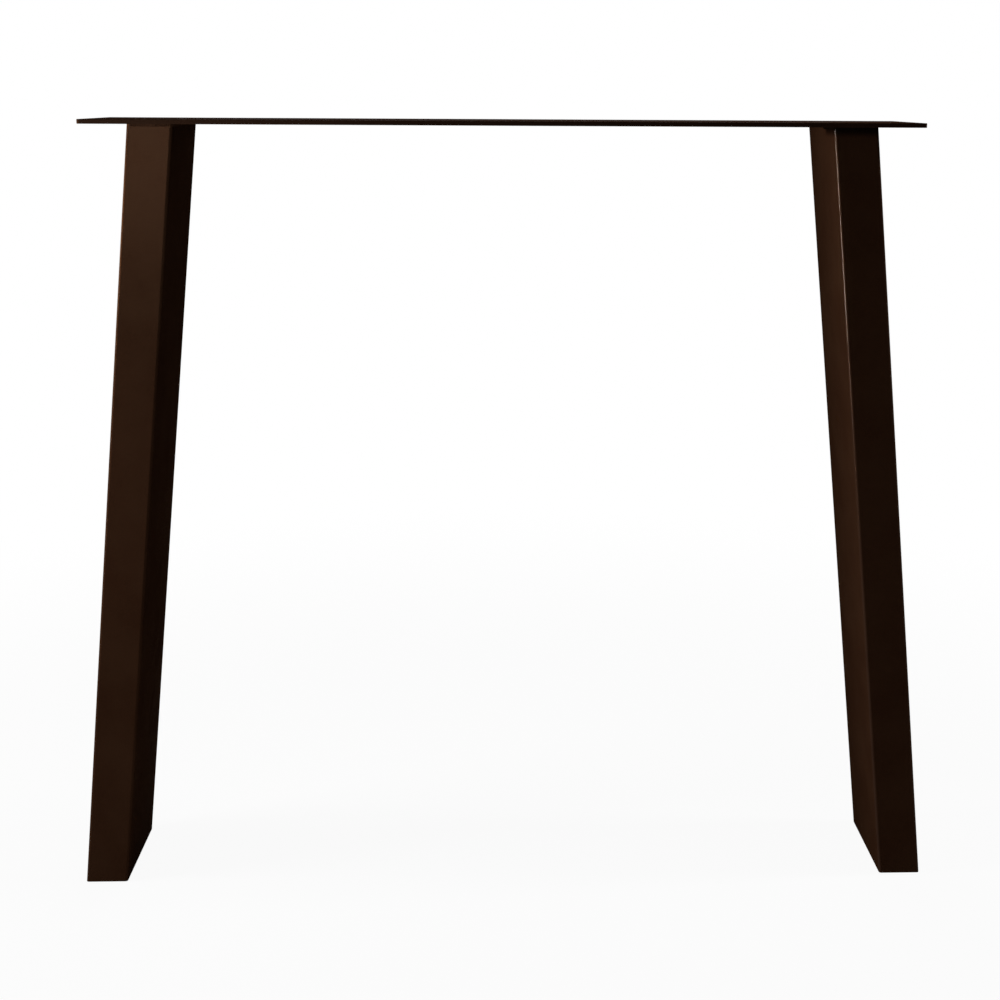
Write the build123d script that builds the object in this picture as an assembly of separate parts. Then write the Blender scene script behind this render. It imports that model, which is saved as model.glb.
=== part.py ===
from build123d import *
from math import atan, cos
import os

# Welded steel table leg: a thin flat plate that screws up under the table top, carried by two
# rectangular tubes that splay outwards to the floor.
# Millimetres. +Z is up, +X runs along the plate and +Y towards the back.
# The origin is on the floor, midway between the feet.

# Whole frame
height = 730.0  # floor to the top of the plate
top_span = 665.0  # over the outer faces of the legs, where they meet the plate
foot_spread = 80.0  # how far each leg leans outwards between the plate and the floor

# Rectangular hollow section of the legs
tube_width = 40.0  # across the narrow way, square to the tube
tube_depth = 120.0  # front to back
tube_wall = 2.0
tube_inner_corner = 0.5  # radius inside the section's corners
tube_end_break = 0.4  # rounding of the outer edge at the floor

# Fillet welds under the plate: two beads for each leg, round opposite corners
weld_size = 2.5  # along the plate, and down the tube
weld_bulge = 0.25  # how far the bead's face swells from a straight one
weld_return = 42.0  # how far each bead runs along one wide side of the leg, from the narrow one
weld_end_gap = 1.5  # from the end of the bead on the narrow side to the leg's other wide side
weld_root = 1.0  # how far the bead's section reaches in before the tube is taken out of it

# Top plate
plate_thickness = 4.0
plate_end_overhang = 42.5  # past the outer face of each leg
plate_side_margin = 2.5  # bare plate beside the welds, front and back
plate_corner = 3.0  # radius of the four corners, seen from above
plate_edge_break = 0.5  # rounding of the sheared edges

# Screw holes in the top plate
hole_diameter = 8.5
hole_side_margin = 20.0  # from the plate's long edges to the holes' centres
inner_hole_gap = 42.5  # from the legs' inner sides to the centres of the holes between them

# Plates that close the lower ends of the tubes
foot_plate_thickness = 3.0

# Sizes that follow from those
plate_underside = height - plate_thickness
plate_length = top_span + 2 * plate_end_overhang
plate_depth = tube_depth + 2 * (weld_size + plate_side_margin)
tube_outer_corner = tube_inner_corner + tube_wall
splay = atan(foot_spread / plate_underside)
level_cut_width = tube_width / cos(splay)
leg_top_x = (top_span - level_cut_width) / 2
leg_foot_x = leg_top_x + foot_spread


# A solid bar of the given section along the right leg's axis, cut level at the floor and at the plate.
def leg_bar(width, depth, corner):
    foot = Vector(leg_foot_x, 0, 0)
    axis = Vector(leg_top_x, 0, plate_underside) - foot
    across = Vector(0, 1, 0).cross(axis)
    spare = axis.normalized() * tube_width
    section_plane = Plane(origin=foot - spare, x_dir=across, z_dir=axis)
    section = section_plane * RectangleRounded(width, depth, corner)
    bar = extrude(section, amount=axis.length + 2 * spare.length)
    bar = split(bar, bisect_by=Plane.XY, keep=Keep.TOP)
    return split(bar, bisect_by=Plane.XY.offset(plate_underside), keep=Keep.BOTTOM)


# The space inside the right leg's tube.
def leg_hollow():
    return leg_bar(tube_width - 2 * tube_wall, tube_depth - 2 * tube_wall, tube_inner_corner)


# The outside of the right leg's tube, as if it were solid.
def leg_outside():
    return leg_bar(tube_width, tube_depth, tube_outer_corner)


# The right leg's tube, with its outer edge softened at the floor.
def make_leg():
    outside = leg_outside()
    floor_edges = outside.faces().sort_by(Axis.Z)[0].outer_wire().edges()
    return fillet(floor_edges, tube_end_break) - leg_hollow()


# A plate let into the lower end of the tube, flush with the floor.
def make_foot_plate():
    return split(leg_hollow(), bisect_by=Plane.XY.offset(foot_plate_thickness), keep=Keep.BOTTOM)


# The section of a weld at a point of the right leg's outline under the plate.
# It is drawn with X outwards along the plate and Y down the tube.
def weld_section(x, y, outwards):
    down = Vector(0, 0, -1)
    section_plane = Plane(origin=(x, y, plate_underside), x_dir=outwards, z_dir=outwards.cross(down))
    toe = Vector(weld_size, 0)
    heel = Vector(0, weld_size)
    swell = (toe + heel).normalized() * weld_bulge
    face = ThreePointArc(toe, (toe + heel) / 2 + swell, heel)
    root = Polyline(heel, (-weld_root, weld_size), (-weld_root, 0), toe)
    return section_plane * make_face([face, root])


# The bead round the right leg's inner front corner, still reaching into the tube: it is swept round the
# leg's outline under the plate, cut off on the narrow side and on the inner one, and rounded at both ends.
def corner_bead():
    forwards, inwards = Vector(0, -1, 0), Vector(-1, 0, 0)
    outer_x = leg_top_x + level_cut_width / 2
    inner_x = leg_top_x - level_cut_width / 2
    front_y = -tube_depth / 2
    end_x = outer_x - weld_end_gap - weld_size - weld_root
    end_y = front_y + weld_return
    outline = leg_outside().faces().sort_by(Axis.Z)[-1].outer_wire()
    bead = sweep(weld_section(outer_x, 0, -inwards), path=outline)
    bead = split(bead, bisect_by=Plane.YZ.offset(end_x), keep=Keep.BOTTOM)
    bead = split(bead, bisect_by=Plane.ZX.offset(end_y), keep=Keep.BOTTOM)
    for x, y, outwards in ((end_x, front_y, forwards), (inner_x, end_y, inwards)):
        turning_point = Vector(x, y, plate_underside) - outwards * weld_root
        bead += revolve(weld_section(x, y, outwards), axis=Axis(turning_point, (0, 0, 1)))
    return bead


# The right leg's two welds: the one at the back runs round the outer corner, opposite the front one.
def make_welds():
    tube = leg_outside()
    front = corner_bead()
    back = front.rotate(Axis((leg_top_x, 0, 0), (0, 0, 1)), 180)
    return front - tube, back - tube


# The flat plate, with one set of screw holes out past the legs and one set between them.
def make_top_plate():
    outer_hole_x = (top_span + plate_end_overhang) / 2
    inner_hole_x = top_span / 2 - tube_width - inner_hole_gap
    hole_y = plate_depth / 2 - hole_side_margin
    outline = RectangleRounded(plate_length, plate_depth, plate_corner)
    for x in (-outer_hole_x, -inner_hole_x, inner_hole_x, outer_hole_x):
        for y in (-hole_y, hole_y):
            outline -= Pos(x, y) * Circle(hole_diameter / 2)
    plate = Pos(0, 0, plate_underside) * extrude(outline, amount=plate_thickness)
    level_faces = plate.faces().filter_by(Axis.Z)
    rim = [edge for face in level_faces for edge in face.outer_wire().edges()]
    return fillet(rim, plate_edge_break)


# The right-hand pieces are made, and the left-hand ones are their mirror images.
front_weld, back_weld = make_welds()
side_pieces = {
    "leg": make_leg(),
    "foot_plate": make_foot_plate(),
    "front_weld": front_weld,
    "back_weld": back_weld,
}
pieces = {"top_plate": make_top_plate()}
for name, piece in side_pieces.items():
    pieces[f"right_{name}"] = piece
    pieces[f"left_{name}"] = mirror(piece, about=Plane.YZ)

os.makedirs("parts", exist_ok=True)
for name, piece in pieces.items():
    export_step(piece, f"parts/{name}.step")
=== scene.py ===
import math

import bmesh
import bpy
from mathutils import Matrix, Vector


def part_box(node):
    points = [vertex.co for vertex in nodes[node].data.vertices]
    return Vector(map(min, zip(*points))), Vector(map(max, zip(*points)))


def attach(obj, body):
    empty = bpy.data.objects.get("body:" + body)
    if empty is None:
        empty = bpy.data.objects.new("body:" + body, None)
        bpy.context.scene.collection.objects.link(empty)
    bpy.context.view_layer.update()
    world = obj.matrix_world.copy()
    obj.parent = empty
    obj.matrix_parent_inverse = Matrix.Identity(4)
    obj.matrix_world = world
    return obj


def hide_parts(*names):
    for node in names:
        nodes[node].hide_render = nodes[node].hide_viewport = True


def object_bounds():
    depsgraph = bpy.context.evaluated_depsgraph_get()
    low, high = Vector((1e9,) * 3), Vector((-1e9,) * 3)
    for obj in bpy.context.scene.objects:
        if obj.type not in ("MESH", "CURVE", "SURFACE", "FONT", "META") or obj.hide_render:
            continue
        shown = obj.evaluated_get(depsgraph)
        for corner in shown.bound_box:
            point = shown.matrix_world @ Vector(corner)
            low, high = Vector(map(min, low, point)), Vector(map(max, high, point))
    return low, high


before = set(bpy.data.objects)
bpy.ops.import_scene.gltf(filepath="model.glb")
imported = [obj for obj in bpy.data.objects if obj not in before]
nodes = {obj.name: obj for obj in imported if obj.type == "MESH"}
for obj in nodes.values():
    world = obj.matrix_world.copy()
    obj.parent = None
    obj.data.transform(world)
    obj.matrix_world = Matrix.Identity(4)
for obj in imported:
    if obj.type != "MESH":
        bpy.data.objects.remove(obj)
cadLow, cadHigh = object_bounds()
plateLow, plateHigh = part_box("top_plate")
plateUnderside = plateLow.z
print("frame loaded:", len(nodes), "nodes")


# Small helpers, shared by the shader and geometry trees

def fromScreen(red, green, blue):  # 0 to 255 as seen on screen, to the linear colour a shader takes
    def linear(value):
        share = value / 255
        return share / 12.92 if share <= 0.04045 else ((share + 0.055) / 1.055) ** 2.4
    return linear(red), linear(green), linear(blue), 1.0


def keyFor(label):  # a socket labelled "Edge Width" takes the value kept as edgeWidth
    return label[0].lower() + label[1:].replace(" ", "")


def addNode(tree, kind, **settings):
    node = tree.nodes.new(kind)
    for name, value in settings.items():
        setattr(node, name, value)
    return node


def feed(tree, socket, value):  # a link from a socket, or a plain number
    if isinstance(value, bpy.types.NodeSocket):
        tree.links.new(value, socket)
    else:
        socket.default_value = value


def sums(tree, operation, first, second=0.0, third=0.0, clamp=False):
    node = addNode(tree, "ShaderNodeMath", operation=operation, use_clamp=clamp)
    for socket, value in zip(node.inputs, (first, second, third)):
        feed(tree, socket, value)
    return node.outputs[0]


def vectorSums(tree, operation, first, second=(0.0, 0.0, 0.0)):
    node = addNode(tree, "ShaderNodeVectorMath", operation=operation)
    feed(tree, node.inputs[0], first)
    feed(tree, node.inputs["Scale" if operation == "SCALE" else 1], second)
    return node.outputs["Value" if operation == "LENGTH" else "Vector"]


def ramp(tree, value, fromLow, fromHigh, toLow=0.0, toHigh=1.0, smooth=True):
    rise = "SMOOTHSTEP" if smooth else "LINEAR"
    node = addNode(tree, "ShaderNodeMapRange", interpolation_type=rise)
    for socket, number in zip(node.inputs, (value, fromLow, fromHigh, toLow, toHigh)):
        feed(tree, socket, number)
    return node.outputs[0]


def noise(tree, vector, scale, detail=1.0, roughness=0.5):
    node = addNode(tree, "ShaderNodeTexNoise")
    feed(tree, node.inputs["Vector"], vector)
    feed(tree, node.inputs["Scale"], scale)
    node.inputs["Detail"].default_value = detail
    node.inputs["Roughness"].default_value = roughness
    return node.outputs["Fac"]


def split(tree, vector):
    node = addNode(tree, "ShaderNodeSeparateXYZ")
    feed(tree, node.inputs[0], vector)
    return node.outputs


def blendColours(tree, share, first, second):
    node = addNode(tree, "ShaderNodeMix", data_type="RGBA")
    feed(tree, node.inputs["Factor"], share)
    colourInputs = [socket for socket in node.inputs if socket.type == "RGBA"]
    feed(tree, colourInputs[0], first)
    feed(tree, colourInputs[1], second)
    return [socket for socket in node.outputs if socket.type == "RGBA"][0]


def newGroup(name, kind, inputs, outputs):
    tree = bpy.data.node_groups.new(name, kind)
    for label, socketType in inputs:
        tree.interface.new_socket(label, in_out="INPUT", socket_type="NodeSocket" + socketType)
    for label, socketType in outputs:
        tree.interface.new_socket(label, in_out="OUTPUT", socket_type="NodeSocket" + socketType)
    return tree, addNode(tree, "NodeGroupInput").outputs, addNode(tree, "NodeGroupOutput").inputs


# Brown powder coat

coat = {
    "colour": fromScreen(48, 30, 19),
    "deepColour": fromScreen(43, 25, 15),  # where the coat lies thickest
    "edgeColour": fromScreen(60, 41, 29),  # paler where it pulls thin over a corner, and partly a painted highlight along the corners
    "patchSize": 0.055,  # soft drifts of tone, metres
    "patchDetail": 3.0,
    "patchRoughness": 0.55,
    "patchLow": 0.35,  # the drifts run from the one colour to the other between these levels
    "patchHigh": 0.85,
    "specksPerPatch": 40.0,
    "speckShare": 0.18,
    "peelSize": 0.0017,  # the dimples of the cured powder
    "peelSag": 0.35,  # share of broader waves in it
    "peelBroad": 0.16,  # how many of those waves there are to one dimple
    "peelHeight": 0.00004,
    "roughLow": 0.25,
    "roughHigh": 0.32,
    "flake": 0.1,  # how much the bronze pigment reflects as metal does
    "flakeGrazing": fromScreen(70, 52, 40),  # keeps the sides dark when they are seen along their length
    "edgeWidth": 0.003,
    "edgeFade": 1.4,  # where the thinning ends, in edge widths
    "edgeRagged": 260.0,  # waves in its border, per metre
    "edgeDetail": 2.0,
    "edgeDulling": 0.5,
    "edgeStrength": 0.2,
    # the colour of a plate's darker sides; on the tubes it is the colour of the painted shade under the
    # plate
    "rimColour": fromScreen(22, 14, 11),
    "rimStrength": 0.0,  # how far the sheared sides of a plate are darker than its faces
    "rimDeep": 0.0006,  # that dark is gone this deep under a side
    "rimShallow": 0.0002,  # and full down to here
    "scorch": 0.0,  # painted shade: how far the coat is darkened just under the plate at a tube's front, where the plate's overhang shades it
    "scorchFull": 0.003,  # darkest down to here, under the plate
    "scorchHeight": 0.01,
    "scorchReach": 0.045,  # from the front along the tube's wide sides
    "scorchFade": 0.012,
    "polish": 0.0,  # a clear gloss on the round of a corner
    "polishWidth": 0.0025,
    "polishCore": 0.5,  # the share of that width with the full gloss
    "polishRough": 0.14,
}


def makeOrangePeel():
    tree, given, out = newGroup("orangePeel", "ShaderNodeTree", [
        ("Vector", "Vector"), ("Peel Size", "Float"), ("Peel Sag", "Float"),
    ], [("Height", "Float")])
    fine = noise(tree, given["Vector"], sums(tree, "DIVIDE", 1.0, given["Peel Size"]))
    broad = noise(tree, given["Vector"], sums(tree, "DIVIDE", coat["peelBroad"], given["Peel Size"]))
    feed(tree, out["Height"], sums(tree, "MULTIPLY_ADD", broad, given["Peel Sag"], fine))
    return tree


def makeCoatDrift():
    tree, given, out = newGroup("coatDrift", "ShaderNodeTree", [
        ("Vector", "Vector"), ("Patch Size", "Float"), ("Colour", "Color"), ("Deep Colour", "Color"),
        ("Edge Colour", "Color"), ("Rim Colour", "Color"), ("Edge", "Float"), ("Rim", "Float"),
    ], [("Colour", "Color"), ("Gloss", "Float")])
    patches = sums(tree, "DIVIDE", 1.0, given["Patch Size"])
    drift = noise(tree, given["Vector"], patches, coat["patchDetail"], coat["patchRoughness"])
    specks = sums(tree, "DIVIDE", coat["specksPerPatch"], given["Patch Size"])
    speck = noise(tree, given["Vector"], specks)
    level = sums(tree, "MULTIPLY_ADD", speck, coat["speckShare"], drift)
    depth = ramp(tree, level, coat["patchLow"], coat["patchHigh"])
    body = blendColours(tree, depth, given["Colour"], given["Deep Colour"])
    # The paler edge colour stands for the thin coat on the corners and is partly a painted highlight there
    thinnedWithSheen = blendColours(tree, given["Edge"], body, given["Edge Colour"])
    # Rim: a plate's darker sides, and on a tube the painted shade under the plate
    feed(tree, out["Colour"], blendColours(tree, given["Rim"], thinnedWithSheen, given["Rim Colour"]))
    dulled = sums(tree, "MULTIPLY", given["Edge"], coat["edgeDulling"])
    feed(tree, out["Gloss"], sums(tree, "SUBTRACT", depth, dulled, clamp=True))
    return tree


# How near a point of a box-shaped piece is to an edge: the middle one of its three depths under the faces
def makeCornerThinningAndSheen():
    tree, given, out = newGroup("cornerThinning", "ShaderNodeTree", [
        ("Local", "Vector"), ("Half Size", "Vector"), ("Edge Width", "Float"), ("Edge Strength", "Float"),
        ("Rim Strength", "Float"), ("Polish Width", "Float"), ("Polish", "Float"),
    ], [("Edge", "Float"), ("Rim", "Float"), ("Polish", "Float")])
    fromMiddle = vectorSums(tree, "ABSOLUTE", given["Local"])
    x, y, z = split(tree, vectorSums(tree, "SUBTRACT", given["Half Size"], fromMiddle))
    total = sums(tree, "ADD", sums(tree, "ADD", x, y), z)
    most = sums(tree, "MAXIMUM", sums(tree, "MAXIMUM", x, y), z)
    least = sums(tree, "MINIMUM", sums(tree, "MINIMUM", x, y), z)
    toEdge = sums(tree, "SUBTRACT", sums(tree, "SUBTRACT", total, most), least)
    waves = noise(tree, given["Local"], coat["edgeRagged"], coat["edgeDetail"])
    ragged = sums(tree, "MULTIPLY_ADD", waves, given["Edge Width"], toEdge)
    near = ramp(tree, ragged, sums(tree, "MULTIPLY", given["Edge Width"], coat["edgeFade"]), 0.0)
    feed(tree, out["Edge"], sums(tree, "MULTIPLY", near, given["Edge Strength"]))
    onSide = ramp(tree, sums(tree, "MINIMUM", x, y), coat["rimDeep"], coat["rimShallow"])
    feed(tree, out["Rim"], sums(tree, "MULTIPLY", onSide, given["Rim Strength"]))
    core = sums(tree, "MULTIPLY", given["Polish Width"], coat["polishCore"])
    onRound = ramp(tree, toEdge, given["Polish Width"], core)
    feed(tree, out["Polish"], sums(tree, "MULTIPLY", onRound, given["Polish"]))
    return tree


orangePeel = makeOrangePeel()
coatDrift = makeCoatDrift()
cornerThinning = makeCornerThinningAndSheen()


def placeGroup(tree, group, look, **links):  # the values come from the look, unless a link is given
    node = addNode(tree, "ShaderNodeGroup", node_tree=group)
    values = {**look, **links}
    for socket in node.inputs:
        feed(tree, socket, values[keyFor(socket.name)])
    return node.outputs


# centre, turn and half sizes say where the piece's box lies, so that its corners can be found
def makeCoat(name, changes, centre, halfSize, turn=0.0):
    look = {**coat, **changes}
    material = bpy.data.materials.new(name)
    material.use_nodes = True
    tree = material.node_tree
    shader = tree.nodes["Principled BSDF"]
    place = addNode(tree, "ShaderNodeTexCoord").outputs["Object"]
    local = addNode(tree, "ShaderNodeMapping", vector_type="TEXTURE")
    feed(tree, local.inputs["Vector"], place)
    local.inputs["Location"].default_value = centre
    local.inputs["Rotation"].default_value = (0.0, turn, 0.0)
    corner = placeGroup(tree, cornerThinning, look, local=local.outputs[0], halfSize=halfSize)
    rim = corner["Rim"]
    # Painted shade: on a tube that has it, the rim darkening is replaced by a dark band just under the
    # plate at the front, where the plate's overhang shades the tube
    if look["scorch"]:
        parts = split(tree, place)
        low = plateUnderside - look["scorchHeight"]
        high = plateUnderside - look["scorchFull"]
        behind = centre.y - halfSize.y + look["scorchReach"]
        atTop = ramp(tree, parts["Z"], low, high, 0.0, look["scorch"])
        atFront = ramp(tree, parts["Y"], behind, behind - look["scorchFade"])
        rim = sums(tree, "MULTIPLY", atTop, atFront)
    drift = placeGroup(tree, coatDrift, look, vector=place, edge=corner["Edge"], rim=rim)
    peel = placeGroup(tree, orangePeel, look, vector=place)
    feed(tree, shader.inputs["Base Color"], drift["Colour"])
    rough = ramp(tree, drift["Gloss"], 0.0, 1.0, look["roughHigh"], look["roughLow"], smooth=False)
    feed(tree, shader.inputs["Roughness"], rough)
    bump = addNode(tree, "ShaderNodeBump")
    bump.inputs["Strength"].default_value = 1.0
    bump.inputs["Distance"].default_value = look["peelHeight"]
    feed(tree, bump.inputs["Height"], peel["Height"])
    feed(tree, shader.inputs["Normal"], bump.outputs["Normal"])
    shader.inputs["Metallic"].default_value = look["flake"]
    shader.inputs["Specular IOR Level"].default_value = 0.0
    shader.inputs["Specular Tint"].default_value = look["flakeGrazing"]
    if look["polish"]:
        feed(tree, shader.inputs["Coat Weight"], corner["Polish"])
        shader.inputs["Coat Roughness"].default_value = look["polishRough"]
    return material


def dress(node, material):
    piece = nodes[node]
    piece.data.materials.clear()
    piece.data.materials.append(material)


def middle(low, high):
    return (low + high) / 2


plate = {"edgeWidth": 0.0012, "rimStrength": 0.45, "flake": 0.04, "roughLow": 0.36, "roughHigh": 0.44}
plateCoat = makeCoat("plateCoat", plate, middle(plateLow, plateHigh), (plateHigh - plateLow) / 2)
dress("top_plate", plateCoat)
print("plate coated")

# On the tubes the rim colour is that of the painted shade under the plate
tube = {"edgeStrength": 0.1, "rimColour": fromScreen(6, 3, 2)}
# Only the right leg gets the painted shade under the plate, and a gloss on its corners
tubeSides = {"left": {}, "right": {"scorch": 0.85, "polish": 0.06}}
footPlate = {"edgeWidth": 0.002}
beyondEnds = Vector((0.0, 0.0, 0.2))  # the tube's box runs on past its ends, which have no corners
for side, sign in (("left", -1), ("right", 1)):
    legLow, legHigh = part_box(f"{side}_leg")
    footLow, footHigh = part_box(f"{side}_foot_plate")
    legSize, footSize = legHigh - legLow, footHigh - footLow
    wall = (legSize.y - footSize.y) / 2
    # A first guess at the splay gives the width of a level cut, and that gives the splay
    splay = math.atan2(legSize.x - footSize.x - 2 * wall, legSize.z)
    levelWidth = footSize.x - footSize.z * math.tan(splay) + 2 * wall / math.cos(splay)
    splay = math.atan2(legSize.x - levelWidth, legSize.z)
    halfSize = Vector((levelWidth * math.cos(splay), legSize.y, legSize.z)) / 2 + beyondEnds
    tubeLook = {**tube, **tubeSides[side]}
    tubeCoat = makeCoat(f"{side}TubeCoat", tubeLook, middle(legLow, legHigh), halfSize, -sign * splay)
    dress(f"{side}_leg", tubeCoat)
    footCoat = makeCoat(f"{side}FootPlateCoat", footPlate, middle(footLow, footHigh), footSize / 2)
    dress(f"{side}_foot_plate", footCoat)
    print(side, "leg coated, splay", round(math.degrees(splay), 2), "degrees")


# Weld beads, laid along the line where each tube meets the plate

bead = {
    "root": 0.0006,  # how far the bead is sunk into the tube and the plate
    "undercut": 0.0003,  # the heel is tucked in, because the tube's sides lean
    "bulge": 0.0003,
    "sectionSteps": 12,
    "tubeCorner": 0.0025,
    "cornerSteps": 10,
    "step": 0.0002,  # spacing of the points along the path
    "pitch": 0.0016,  # one ripple
    "depth": 0.00035,
    "sharpness": 0.7,  # under 1, so that the grooves are narrower than the ripples
    "edgeRise": 3.2,  # how soon the ripples are at their full depth, from the bead's edges
    "lead": 0.0011,  # how far the middle of a ripple runs ahead of its edges
    "jitter": 0.55,
    "wander": 0.16,  # how much the bead's size varies along it
    "wanderWaves": 150.0,  # per metre
    "merge": 0.00004,  # points nearer than this become one, which closes the pointed ends
    "firstSeed": 3.0,
    "seedStep": 17.0,
}
beadCoat = {  # duller than the flats
    "peelHeight": 0.00002,
    "edgeStrength": 0.0,
    "flake": 0.0,
}
beadOwnAndShadedColours = {  # the right-hand beads are painted dark as shade, lying in the plate's shadow; the left-hand ones have about the coat's own colour
    "left": {"colour": fromScreen(46, 29, 19), "deepColour": fromScreen(39, 23, 14)},
    "right": {"colour": fromScreen(14, 8, 5), "deepColour": fromScreen(9, 5, 3)},
}


def makeBeadSection(size):
    swell = bead["bulge"] / math.sqrt(2)
    sunk = -bead["root"]
    points = []
    for step in range(bead["sectionSteps"] + 1):  # the exposed face, from the plate to the tube
        share = step / bead["sectionSteps"]
        bow = 4 * share * (1 - share) * swell
        points.append((size * (1 - share) + bow - bead["undercut"] * share, size * share + bow))
    points += [(sunk, size + sunk), (sunk, sunk), (size + sunk, sunk)]
    curve = bpy.data.curves.new("beadSection", "CURVE")
    curve.dimensions = "3D"
    spline = curve.splines.new("POLY")
    spline.points.add(len(points) - 1)
    for point, (outwards, down) in zip(spline.points, points):
        point.co = (outwards, down, 0.0, 1.0)
    spline.use_cyclic_u = True
    section = bpy.data.objects.new("beadSection", curve)
    bpy.context.scene.collection.objects.link(section)
    return section


def through(tree, kind, geometry, **settings):  # a node that a geometry passes through
    node = addNode(tree, kind, **settings)
    feed(tree, node.inputs[0], geometry)
    return node


def keep(tree, geometry, kind, **fields):  # stored on a curve, fields reach the mesh swept along it
    node = through(tree, "GeometryNodeCaptureAttribute", geometry, domain="POINT")
    for name, value in fields.items():
        node.capture_items.new(kind, name)
        feed(tree, node.inputs[name], value)
    return node.outputs


def makeBeadTree():
    tree, given, out = newGroup("weldBead", "GeometryNodeTree", [
        ("Path", "Geometry"), ("Section", "Object"), ("Size", "Float"), ("Tube Corner", "Float"),
        ("Step", "Float"), ("Pitch", "Float"), ("Depth", "Float"), ("Lead", "Float"), ("Jitter", "Float"),
        ("Wander", "Float"), ("Seed", "Float"), ("Material", "Material"),
    ], [("Bead", "Geometry")])
    path = through(tree, "GeometryNodeMeshToCurve", given["Path"])
    rounded = through(tree, "GeometryNodeFilletCurve", path.outputs[0], mode="POLY")
    rounded.inputs["Count"].default_value = bead["cornerSteps"]
    feed(tree, rounded.inputs["Radius"], given["Tube Corner"])
    even = through(tree, "GeometryNodeResampleCurve", rounded.outputs[0], mode="LENGTH")
    feed(tree, even.inputs["Length"], given["Step"])
    upright = through(tree, "GeometryNodeSetCurveNormal", even.outputs[0], mode="Z_UP")
    along = addNode(tree, "GeometryNodeSplineParameter").outputs["Length"]
    whole = addNode(tree, "GeometryNodeSplineLength").outputs["Length"]
    line = keep(tree, upright.outputs[0], "FLOAT", along=along)

    section = addNode(tree, "GeometryNodeObjectInfo")
    feed(tree, section.inputs["Object"], given["Section"])
    place = addNode(tree, "GeometryNodeInputPosition").outputs[0]
    outline = keep(tree, section.outputs["Geometry"], "VECTOR", place=place)

    # The bead tapers off at both ends, and its size wanders a little
    toEnd = sums(tree, "MINIMUM", along, sums(tree, "SUBTRACT", whole, along))
    fall = sums(tree, "SUBTRACT", 1.0, sums(tree, "DIVIDE", toEnd, given["Size"], clamp=True))
    taper = sums(tree, "SQRT", sums(tree, "SUBTRACT", 1.0, sums(tree, "MULTIPLY", fall, fall), clamp=True))
    waver = addNode(tree, "ShaderNodeTexNoise", noise_dimensions="1D")
    waves = sums(tree, "MULTIPLY", along, bead["wanderWaves"])
    feed(tree, waver.inputs["W"], sums(tree, "ADD", waves, given["Seed"]))
    swing = sums(tree, "SUBTRACT", waver.outputs[0], 1.0)
    girth = sums(tree, "MULTIPLY", taper, sums(tree, "MULTIPLY_ADD", swing, given["Wander"], 1.0))
    swept = through(tree, "GeometryNodeCurveToMesh", line["Geometry"])
    feed(tree, swept.inputs["Profile Curve"], outline["Geometry"])
    feed(tree, swept.inputs["Scale"], girth)
    swept.inputs["Fill Caps"].default_value = True

    # Ripples: bowed across the bead, each one a little different, and flat at the bead's edges
    outwards, down = split(tree, vectorSums(tree, "MAXIMUM", outline["place"]))[:2]
    squared = sums(tree, "MULTIPLY", given["Size"], given["Size"])
    spread = sums(tree, "DIVIDE", sums(tree, "MULTIPLY", outwards, down), squared)
    face = sums(tree, "MULTIPLY", spread, bead["edgeRise"], clamp=True)
    bowed = sums(tree, "MULTIPLY_ADD", face, given["Lead"], line["along"])
    turn = sums(tree, "DIVIDE", bowed, given["Pitch"])
    wave = sums(tree, "ABSOLUTE", sums(tree, "SINE", sums(tree, "MULTIPLY", turn, math.pi)))
    crest = sums(tree, "POWER", wave, bead["sharpness"])
    own = addNode(tree, "ShaderNodeTexWhiteNoise", noise_dimensions="1D")
    feed(tree, own.inputs["W"], sums(tree, "ADD", sums(tree, "FLOOR", turn), given["Seed"]))
    strength = sums(tree, "SUBTRACT", 1.0, sums(tree, "MULTIPLY", own.outputs["Value"], given["Jitter"]))
    rise = sums(tree, "SUBTRACT", sums(tree, "MULTIPLY", crest, strength), 1.0)
    height = sums(tree, "MULTIPLY", sums(tree, "MULTIPLY", rise, face), given["Depth"])
    normal = addNode(tree, "GeometryNodeInputNormal").outputs["Normal"]
    rippled = through(tree, "GeometryNodeSetPosition", swept.outputs[0])
    feed(tree, rippled.inputs["Offset"], vectorSums(tree, "SCALE", normal, height))

    merged = through(tree, "GeometryNodeMergeByDistance", rippled.outputs[0])
    merged.inputs["Distance"].default_value = bead["merge"]
    smooth = through(tree, "GeometryNodeSetShadeSmooth", merged.outputs[0])
    plain = through(tree, "GeometryNodeRealizeInstances", smooth.outputs[0])
    coated = through(tree, "GeometryNodeSetMaterial", plain.outputs[0])
    feed(tree, coated.inputs["Material"], given["Material"])
    feed(tree, out["Bead"], coated.outputs[0])
    return tree


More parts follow.
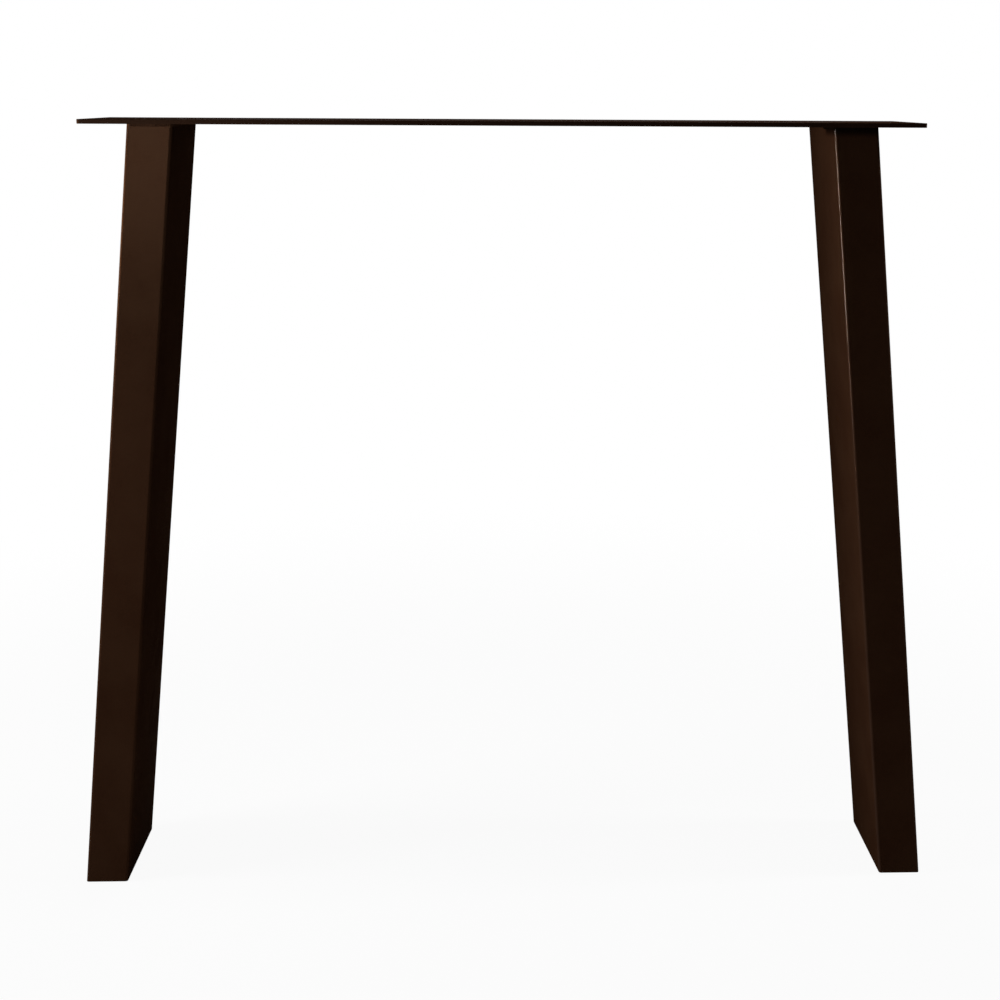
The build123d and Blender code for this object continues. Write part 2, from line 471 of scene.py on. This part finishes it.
def makeBead(name, node, tree, section, material, seed):
    low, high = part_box(node)
    size = high.z - low.z
    front = "front" in node
    atLeft = front == ("right" in node)  # which corner of the tube the bead goes round
    cornerX, freeX = (low.x + size, high.x) if atLeft else (high.x - size, low.x)
    cornerY, freeY = (low.y + size, high.y) if front else (high.y - size, low.y)
    corners = [(cornerX, freeY), (cornerX, cornerY), (freeX, cornerY)]
    if atLeft != front:  # always anticlockwise seen from above
        corners.reverse()
    line = bpy.data.meshes.new(name + "Line")
    line.from_pydata([(x, y, plateUnderside) for x, y in corners], [(0, 1), (1, 2)], [])
    carrier = bpy.data.objects.new(name + "Line", line)
    bpy.context.scene.collection.objects.link(carrier)
    modifier = carrier.modifiers.new("weldBead", "NODES")
    modifier.node_group = tree
    values = {**bead, "section": section, "size": size, "seed": seed, "material": material}
    for item in tree.interface.items_tree:
        if item.in_out == "INPUT" and keyFor(item.name) in values:
            modifier[item.identifier] = values[keyFor(item.name)]
    shape = carrier.evaluated_get(bpy.context.evaluated_depsgraph_get())
    mesh = bpy.data.meshes.new_from_object(shape)
    mesh.name = name
    bpy.data.objects.remove(carrier)
    bpy.data.meshes.remove(line)
    solid = bmesh.new()
    solid.from_mesh(mesh)
    bmesh.ops.recalc_face_normals(solid, faces=solid.faces)
    solid.to_mesh(mesh)
    solid.free()
    piece = bpy.data.objects.new(name, mesh)
    bpy.context.scene.collection.objects.link(piece)
    return piece


beadTree = makeBeadTree()
firstLow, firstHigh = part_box("left_front_weld")
beadSection = makeBeadSection(firstHigh.z - firstLow.z)
beadCoats = {}
# The right-hand bead coat is a copy with painted shade
for side, colours in beadOwnAndShadedColours.items():
    beadLook = {**beadCoat, **colours}
    beadCoats[side] = makeCoat(side + "BeadCoat", beadLook, middle(cadLow, cadHigh), cadHigh - cadLow)
for number, node in enumerate(("left_front_weld", "left_back_weld", "right_front_weld", "right_back_weld")):
    side, end = node.split("_")[:2]
    seed = bead["firstSeed"] + bead["seedStep"] * number
    piece = makeBead(side + end.title() + "Bead", node, beadTree, beadSection, beadCoats[side], seed)
    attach(piece, "root")
    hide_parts(node)
    print(piece.name, len(piece.data.polygons), "faces")
bpy.data.objects.remove(beadSection)


# Floor and surroundings: white to the eye and in reflections, with a soft shadow round the feet

stage = {
    "floorHalf": 12.0,
    "floorGap": 0.0003,  # under the feet, so that no faces coincide
    "floorWhite": 0.45,  # diffuse
    "nearShare": 0.94,  # how much of plain white the floor shows near the legs; the rest is its own shading
    "nearRadius": 0.5,
    "farRadius": 1.5,
    "worldLevel": 0.035,
    "frontLevel": 0.15,  # what reflections see of the studio behind the camera, which is unlit
    "frontEnd": -0.5,  # how far round towards the front it is as dark as that
}


def makeFloor():
    half = stage["floorHalf"]
    level = cadLow.z - stage["floorGap"]
    corners = [(-half, -half, level), (half, -half, level), (half, half, level), (-half, half, level)]
    mesh = bpy.data.meshes.new("floor")
    mesh.from_pydata(corners, [], [(0, 1, 2, 3)])
    floor = bpy.data.objects.new("floor", mesh)
    bpy.context.scene.collection.objects.link(floor)
    material = bpy.data.materials.new("floorWhite")
    material.use_nodes = True
    tree = material.node_tree
    tree.nodes.clear()
    distance = vectorSums(tree, "LENGTH", addNode(tree, "ShaderNodeTexCoord").outputs["Object"])
    share = ramp(tree, distance, stage["nearRadius"], stage["farRadius"], stage["nearShare"], 1.0)
    rays = addNode(tree, "ShaderNodeLightPath").outputs
    direct = sums(tree, "MAXIMUM", rays["Is Camera Ray"], rays["Is Transmission Ray"])
    seen = sums(tree, "MAXIMUM", direct, rays["Is Glossy Ray"])
    mix = addNode(tree, "ShaderNodeMixShader")
    feed(tree, mix.inputs[0], sums(tree, "MULTIPLY", share, seen))
    matt = addNode(tree, "ShaderNodeBsdfDiffuse")
    matt.inputs["Color"].default_value = (stage["floorWhite"],) * 3 + (1.0,)
    white = addNode(tree, "ShaderNodeEmission")
    feed(tree, mix.inputs[1], matt.outputs[0])
    feed(tree, mix.inputs[2], white.outputs[0])
    feed(tree, addNode(tree, "ShaderNodeOutputMaterial").inputs["Surface"], mix.outputs[0])
    mesh.materials.append(material)


def makeWorld():
    world = bpy.data.worlds.new("studio")
    bpy.context.scene.world = world
    world.use_nodes = True
    tree = world.node_tree
    background = tree.nodes["Background"]
    background.inputs["Color"].default_value = (1.0, 1.0, 1.0, 1.0)
    rays = addNode(tree, "ShaderNodeLightPath").outputs
    way = split(tree, addNode(tree, "ShaderNodeTexCoord").outputs["Generated"])
    mirrored = ramp(tree, way["Y"], stage["frontEnd"], 0.0, stage["frontLevel"], 1.0)
    lit = ramp(tree, rays["Is Glossy Ray"], 0.0, 1.0, stage["worldLevel"], mirrored, smooth=False)
    direct = sums(tree, "MAXIMUM", rays["Is Camera Ray"], rays["Is Transmission Ray"])
    feed(tree, background.inputs["Strength"], ramp(tree, direct, 0.0, 1.0, lit, 1.0, smooth=False))


lamps = {
    "key": {"place": (-1.35, -0.24, 0.65), "aim": (0.2, 0.0, 1.5), "size": (0.35, 0.2), "watts": 37.0},
    "glow": {"place": (-0.47, -0.8, 0.72), "aim": (-0.33, 0.0, 0.76), "size": (0.2, 0.26), "watts": 0.32,
             "spread": 56.0, "colour": (0.76, 0.9, 1.0)},
    "fill": {"place": (-0.62, -0.85, 0.2), "aim": (-0.38, 0.0, 0.15), "size": (0.2, 0.3), "watts": 0.1,
             "spread": 60.0},
    "rear": {"place": (0.0, 2.2, 1.4), "aim": (0.0, 0.0, 0.4), "size": (1.6, 1.0), "watts": 28.0},
    "side": {"place": (1.6, 0.0, 1.6), "aim": (0.33, 0.0, 0.45), "size": (0.18, 0.18), "watts": 28.0},
    # Only the thin line of light on a corner shows these two
    "strip": {"place": (-0.8, -0.36, 0.41), "aim": (0.32, -0.06, 0.65), "size": (0.12, 0.34), "watts": 1.46,
              "spread": 40.0, "mirroredOnly": True},
    "stripEnd": {"place": (-0.8, -0.36, 0.16), "aim": (0.36, -0.06, 0.42), "size": (0.12, 0.22),
                 "watts": 0.16, "spread": 40.0, "mirroredOnly": True},
}


def makeLamps():
    for name, lamp in lamps.items():
        light = bpy.data.lights.new(name, "AREA")
        light.shape = "RECTANGLE"
        light.size, light.size_y = lamp["size"]
        light.energy = lamp["watts"]
        light.color = lamp.get("colour", (1.0, 1.0, 1.0))
        light.spread = math.radians(lamp.get("spread", 180.0))
        holder = bpy.data.objects.new(name, light)
        holder.location = lamp["place"]
        beam = Vector(lamp["aim"]) - Vector(lamp["place"])
        holder.rotation_euler = beam.to_track_quat("-Z", "Y").to_euler()
        holder.visible_camera = False
        holder.visible_diffuse = not lamp.get("mirroredOnly", False)
        bpy.context.scene.collection.objects.link(holder)


view = {
    "place": (-0.0126, -1.5343, 0.752),
    "turn": 2.085,  # degrees, to the right
    "tilt": 13.965,  # down
    "roll": 0.32,
    "lens": 58.53,  # millimetres
    "sensor": 36.0,
    "shift": -0.05,  # the photograph's frame is cropped a little to one side
}


def rotation(degrees, axis):
    return Matrix.Rotation(math.radians(degrees), 4, axis)


def makeCamera():
    data = bpy.data.cameras.new("camera")
    data.sensor_width = view["sensor"]
    data.lens = view["lens"]
    data.shift_x = view["shift"]
    camera = bpy.data.objects.new("camera", data)
    upright = rotation(90 - view["tilt"], "X")  # without it, the camera looks straight down
    turned = rotation(-view["turn"], "Z") @ upright @ rotation(view["roll"], "Z")
    camera.matrix_world = Matrix.Translation(view["place"]) @ turned
    bpy.context.scene.collection.objects.link(camera)
    bpy.context.scene.camera = camera


makeFloor()
makeWorld()
makeLamps()
makeCamera()
bpy.context.scene.view_settings.view_transform = "Standard"
print("stage, lamps and camera ready")
